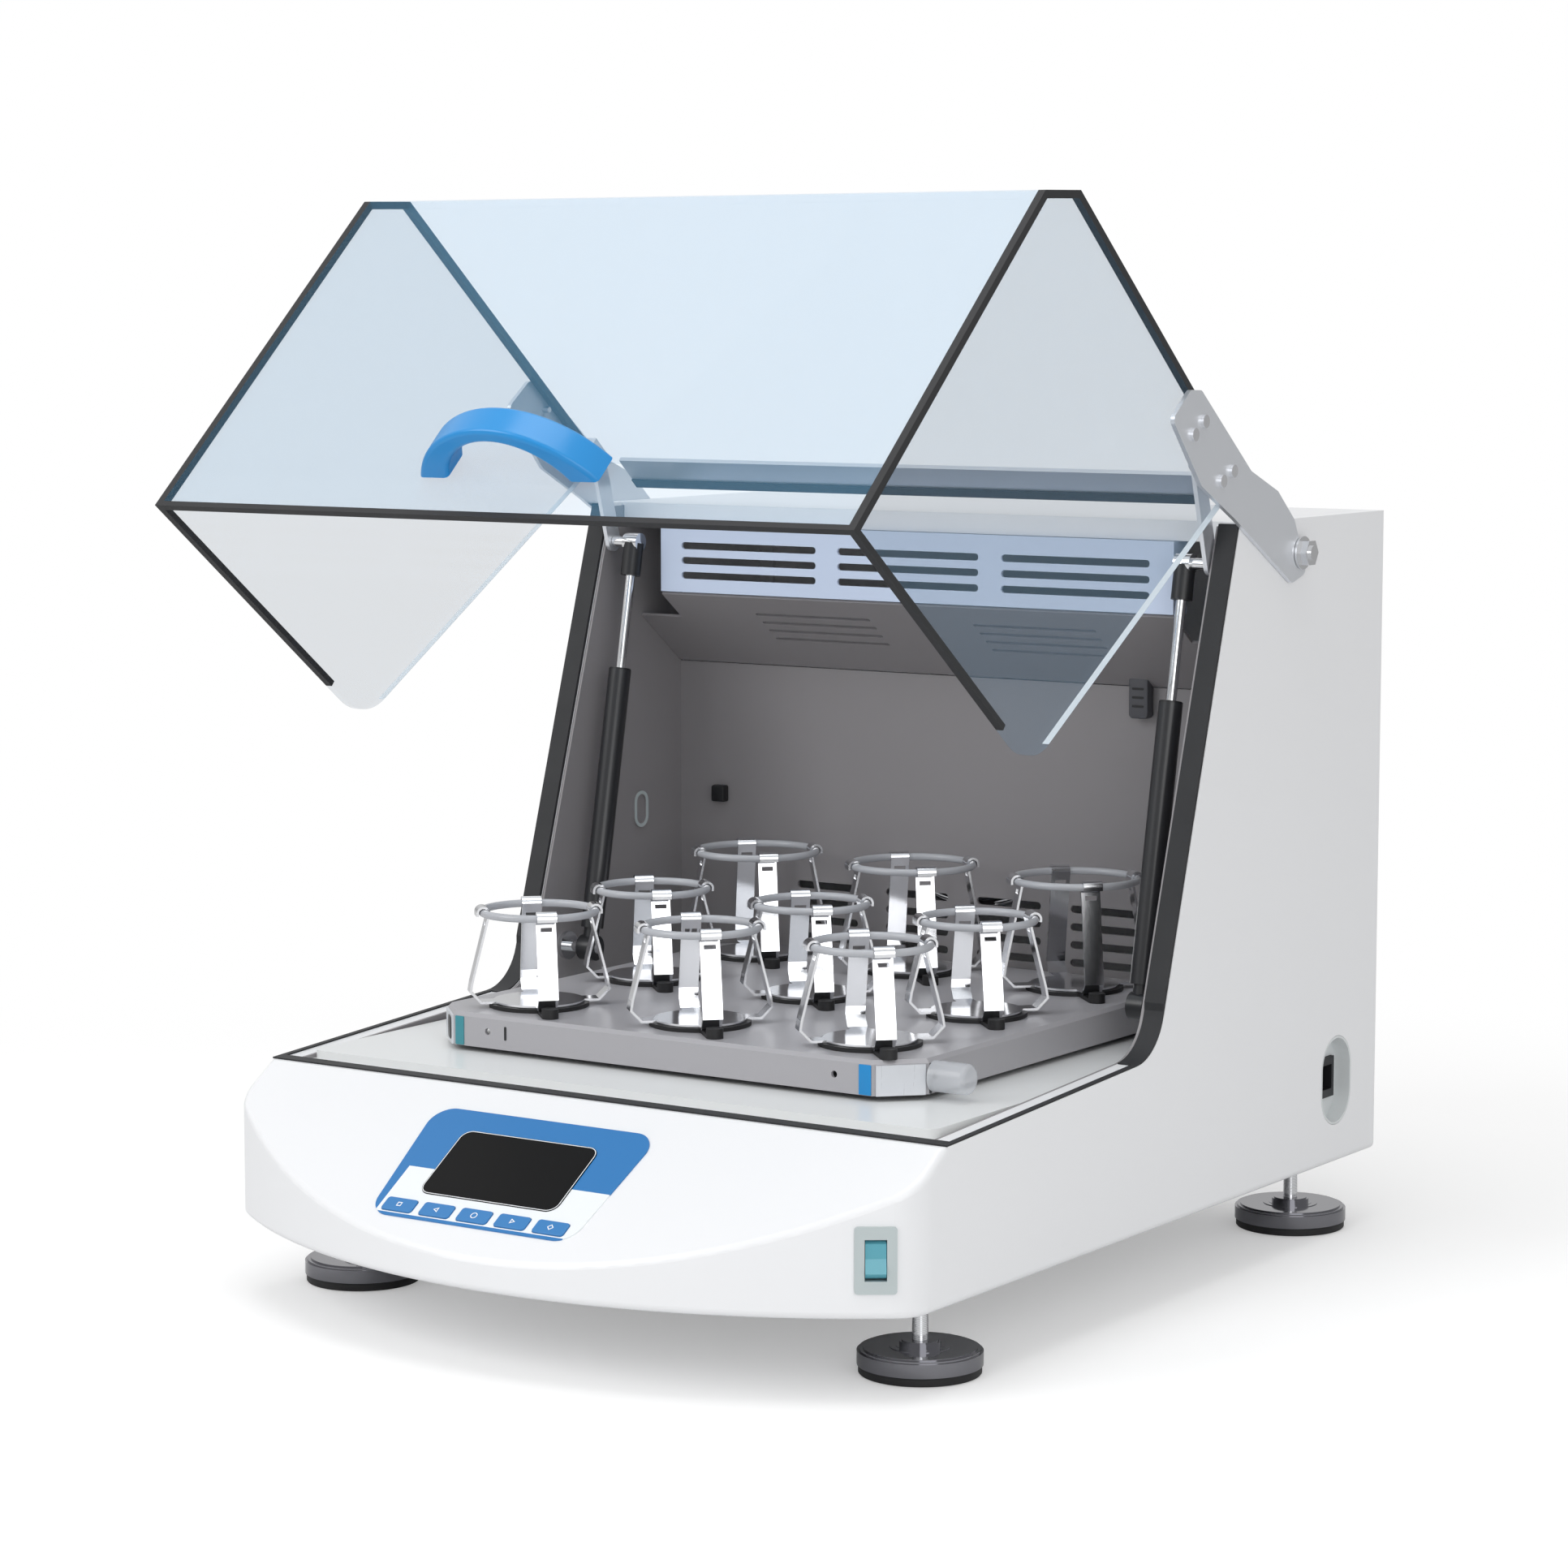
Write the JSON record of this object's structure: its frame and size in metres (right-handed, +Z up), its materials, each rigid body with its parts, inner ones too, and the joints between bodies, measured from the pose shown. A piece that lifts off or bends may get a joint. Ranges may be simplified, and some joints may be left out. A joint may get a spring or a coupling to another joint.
{
  "type": "incubated benchtop shaker",
  "caption": "Benchtop laboratory shaker with a heated chamber, a hinged clear lid swung open, an orbiting platform of sprung flask clamps and a bowed front with a display and keys.",
  "frame": {"origin": "on the bench under the middle of the machine's width and depth", "axes": "+Z up, -Y towards the front with the control panel, +X towards the right-hand side"},
  "size_m": [0.5454, 0.69, 0.7081],
  "materials": {
    "white_paint": "satin",
    "liner_grey": "satin",
    "tray_white": "satin",
    "plain_steel": "brushed",
    "bright_steel": "polished",
    "dark_paint": "satin",
    "aluminium": "satin",
    "iron": "rough",
    "black_rubber": "matte",
    "overlay_blue": "satin",
    "screen_black": "gloss",
    "key_blue": "satin",
    "black_plastic": "matte",
    "rocker_teal": "gloss",
    "clear_acrylic": "gloss",
    "handle_blue": "satin",
    "platform_grey": "satin",
    "ring_grey": "satin",
    "knob_clear": "gloss",
    "board_green": "satin"
  },
  "bodies": {
    "cabinet": {"outer_casing": "white_paint", "rear_panel": "white_paint", "base_plate": "plain_steel", "top_cover": "white_paint", "duct_panel": "liner_grey", "ceiling_panel": "liner_grey", "chamber_liner": "liner_grey", "floor_tray": "tray_white", "mouth_gasket": "black_rubber", "control_overlay": "overlay_blue", "display_window": "screen_black", "switch_bezel": "black_plastic", "inlet_cup": "black_plastic", "power_inlet": "black_plastic", "foot_lock_nuts": "bright_steel", "pivot_bolts": "bright_steel", "lower_ball_studs": "bright_steel", "drive_motor": "dark_paint", "idler_housings": "aluminium", "fan_motor": "dark_paint", "heater_element": "plain_steel", "control_board": "board_green", "power_supply": "aluminium"},
    "lid": {"lid_front_panel": "clear_acrylic", "lid_bevel_panel": "clear_acrylic", "lid_top_panel": "clear_acrylic", "lid_side_left": "clear_acrylic", "lid_side_right": "clear_acrylic", "lid_edge_trim": "black_rubber", "lid_rear_rail": "aluminium", "lid_handle": "handle_blue", "hinge_brackets": "plain_steel", "bracket_screws": "plain_steel", "strut_arms": "plain_steel"},
    "strut_cylinder_left_body": {"strut_cylinder_left": "dark_paint"},
    "strut_cylinder_right_body": {"strut_cylinder_right": "dark_paint"},
    "strut_rod_left_body": {"strut_rod_left": "bright_steel"},
    "strut_rod_right_body": {"strut_rod_right": "bright_steel"},
    "drive": {"drive_crank": "plain_steel", "counterweight": "iron"},
    "idler_left": {"idler_crank_left": "plain_steel"},
    "idler_right": {"idler_crank_right": "plain_steel"},
    "fan": {"fan_impeller": "aluminium"},
    "platform": {"platform_plate": "platform_grey", "platform_carrier": "aluminium", "corner_plates": "aluminium", "flask_clamps": "plain_steel", "clamp_rings": "ring_grey", "clamp_pads": "black_rubber"},
    "knob": {"platform_knob": "knob_clear"},
    "rocker": {"power_rocker": "rocker_teal"},
    "key_1_body": {"key_1": "key_blue"},
    "key_2_body": {"key_2": "key_blue"},
    "key_3_body": {"key_3": "key_blue"},
    "key_4_body": {"key_4": "key_blue"},
    "key_5_body": {"key_5": "key_blue"},
    "foot_front_left_body": {"foot_front_left": "bright_steel"},
    "foot_front_right_body": {"foot_front_right": "bright_steel"},
    "foot_rear_left_body": {"foot_rear_left": "bright_steel"},
    "foot_rear_right_body": {"foot_rear_right": "bright_steel"}
  },
  "joints": [
    {"name": "lid_hinge", "type": "hinge", "parent": "cabinet", "child": "lid", "pos_m": [0, 0.215, 0.4763], "axis": [1, 0, 0], "range_deg": [0, 41]},
    {"name": "strut_left_pivot", "type": "hinge", "parent": "cabinet", "child": "strut_cylinder_left_body", "pos_m": [-0.222, 0.075, 0.1875], "axis": [1, 0, 0], "range_deg": [-8.2, 0]},
    {"name": "strut_left_slide", "type": "slide", "parent": "strut_cylinder_left_body", "child": "strut_rod_left_body", "axis": [0, 0.1898, 0.9818], "range_m": [-0.048, 0]},
    {"name": "strut_right_pivot", "type": "hinge", "parent": "cabinet", "child": "strut_cylinder_right_body", "pos_m": [0.222, 0.075, 0.1875], "axis": [1, 0, 0], "range_deg": [-8.2, 0]},
    {"name": "strut_right_slide", "type": "slide", "parent": "strut_cylinder_right_body", "child": "strut_rod_right_body", "axis": [0, 0.1898, 0.9818], "range_m": [-0.048, 0]},
    {"name": "drive_spin", "type": "hinge", "parent": "cabinet", "child": "drive", "pos_m": [0, -0.059, 0.117], "axis": [0, 0, 1], "continuous": true},
    {"name": "platform_pivot", "type": "hinge", "parent": "drive", "child": "platform", "pos_m": [0, -0.049, 0.167], "axis": [0, 0, 1], "continuous": true},
    {"name": "idler_left_spin", "type": "hinge", "parent": "cabinet", "child": "idler_left", "pos_m": [-0.11, 0.091, 0.117], "axis": [0, 0, 1], "continuous": true},
    {"name": "idler_right_spin", "type": "hinge", "parent": "cabinet", "child": "idler_right", "pos_m": [0.11, 0.091, 0.117], "axis": [0, 0, 1], "continuous": true},
    {"name": "fan_spin", "type": "hinge", "parent": "cabinet", "child": "fan", "pos_m": [0, 0.251, 0.302], "axis": [0, -1, 0], "continuous": true},
    {"name": "knob_turn", "type": "hinge", "parent": "platform", "child": "knob", "pos_m": [0.2, -0.124, 0.169], "axis": [1, 0, 0], "continuous": true},
    {"name": "power_switch", "type": "hinge", "parent": "cabinet", "child": "rocker", "pos_m": [0.23657, -0.26475, 0.088], "axis": [0.8207, 0.5714, 0], "range_deg": [0, 16]},
    {"name": "key_1_press", "type": "slide", "parent": "cabinet", "child": "key_1_body", "axis": [0, 0.5402, -0.8415], "range_m": [0, 0.001], "stiffness_N_per_m": 800},
    {"name": "key_2_press", "type": "slide", "parent": "cabinet", "child": "key_2_body", "axis": [0, 0.5402, -0.8415], "range_m": [0, 0.001], "stiffness_N_per_m": 800},
    {"name": "key_3_press", "type": "slide", "parent": "cabinet", "child": "key_3_body", "axis": [0, 0.5402, -0.8415], "range_m": [0, 0.001], "stiffness_N_per_m": 800},
    {"name": "key_4_press", "type": "slide", "parent": "cabinet", "child": "key_4_body", "axis": [0, 0.5402, -0.8415], "range_m": [0, 0.001], "stiffness_N_per_m": 800},
    {"name": "key_5_press", "type": "slide", "parent": "cabinet", "child": "key_5_body", "axis": [0, 0.5402, -0.8415], "range_m": [0, 0.001], "stiffness_N_per_m": 800},
    {"name": "foot_front_left_turn", "type": "hinge", "parent": "cabinet", "child": "foot_front_left_body", "pos_m": [-0.217, -0.184, 0.012], "axis": [0, 0, 1], "continuous": true},
    {"name": "foot_front_right_turn", "type": "hinge", "parent": "cabinet", "child": "foot_front_right_body", "pos_m": [0.217, -0.184, 0.012], "axis": [0, 0, 1], "continuous": true},
    {"name": "foot_rear_left_turn", "type": "hinge", "parent": "cabinet", "child": "foot_rear_left_body", "pos_m": [-0.217, 0.303, 0.012], "axis": [0, 0, 1], "continuous": true},
    {"name": "foot_rear_right_turn", "type": "hinge", "parent": "cabinet", "child": "foot_rear_right_body", "pos_m": [0.217, 0.303, 0.012], "axis": [0, 0, 1], "continuous": true}
  ],
  "couplings": [
    {"joint": "strut_left_pivot", "follows": "lid_hinge", "ratio": -0.19409},
    {"joint": "strut_left_slide", "follows": "lid_hinge", "m_per_rad": -0.065519},
    {"joint": "strut_right_pivot", "follows": "lid_hinge", "ratio": -0.19409},
    {"joint": "strut_right_slide", "follows": "lid_hinge", "m_per_rad": -0.065519},
    {"joint": "platform_pivot", "follows": "drive_spin", "ratio": -1},
    {"joint": "idler_left_spin", "follows": "drive_spin", "ratio": 1},
    {"joint": "idler_right_spin", "follows": "drive_spin", "ratio": 1}
  ]
}
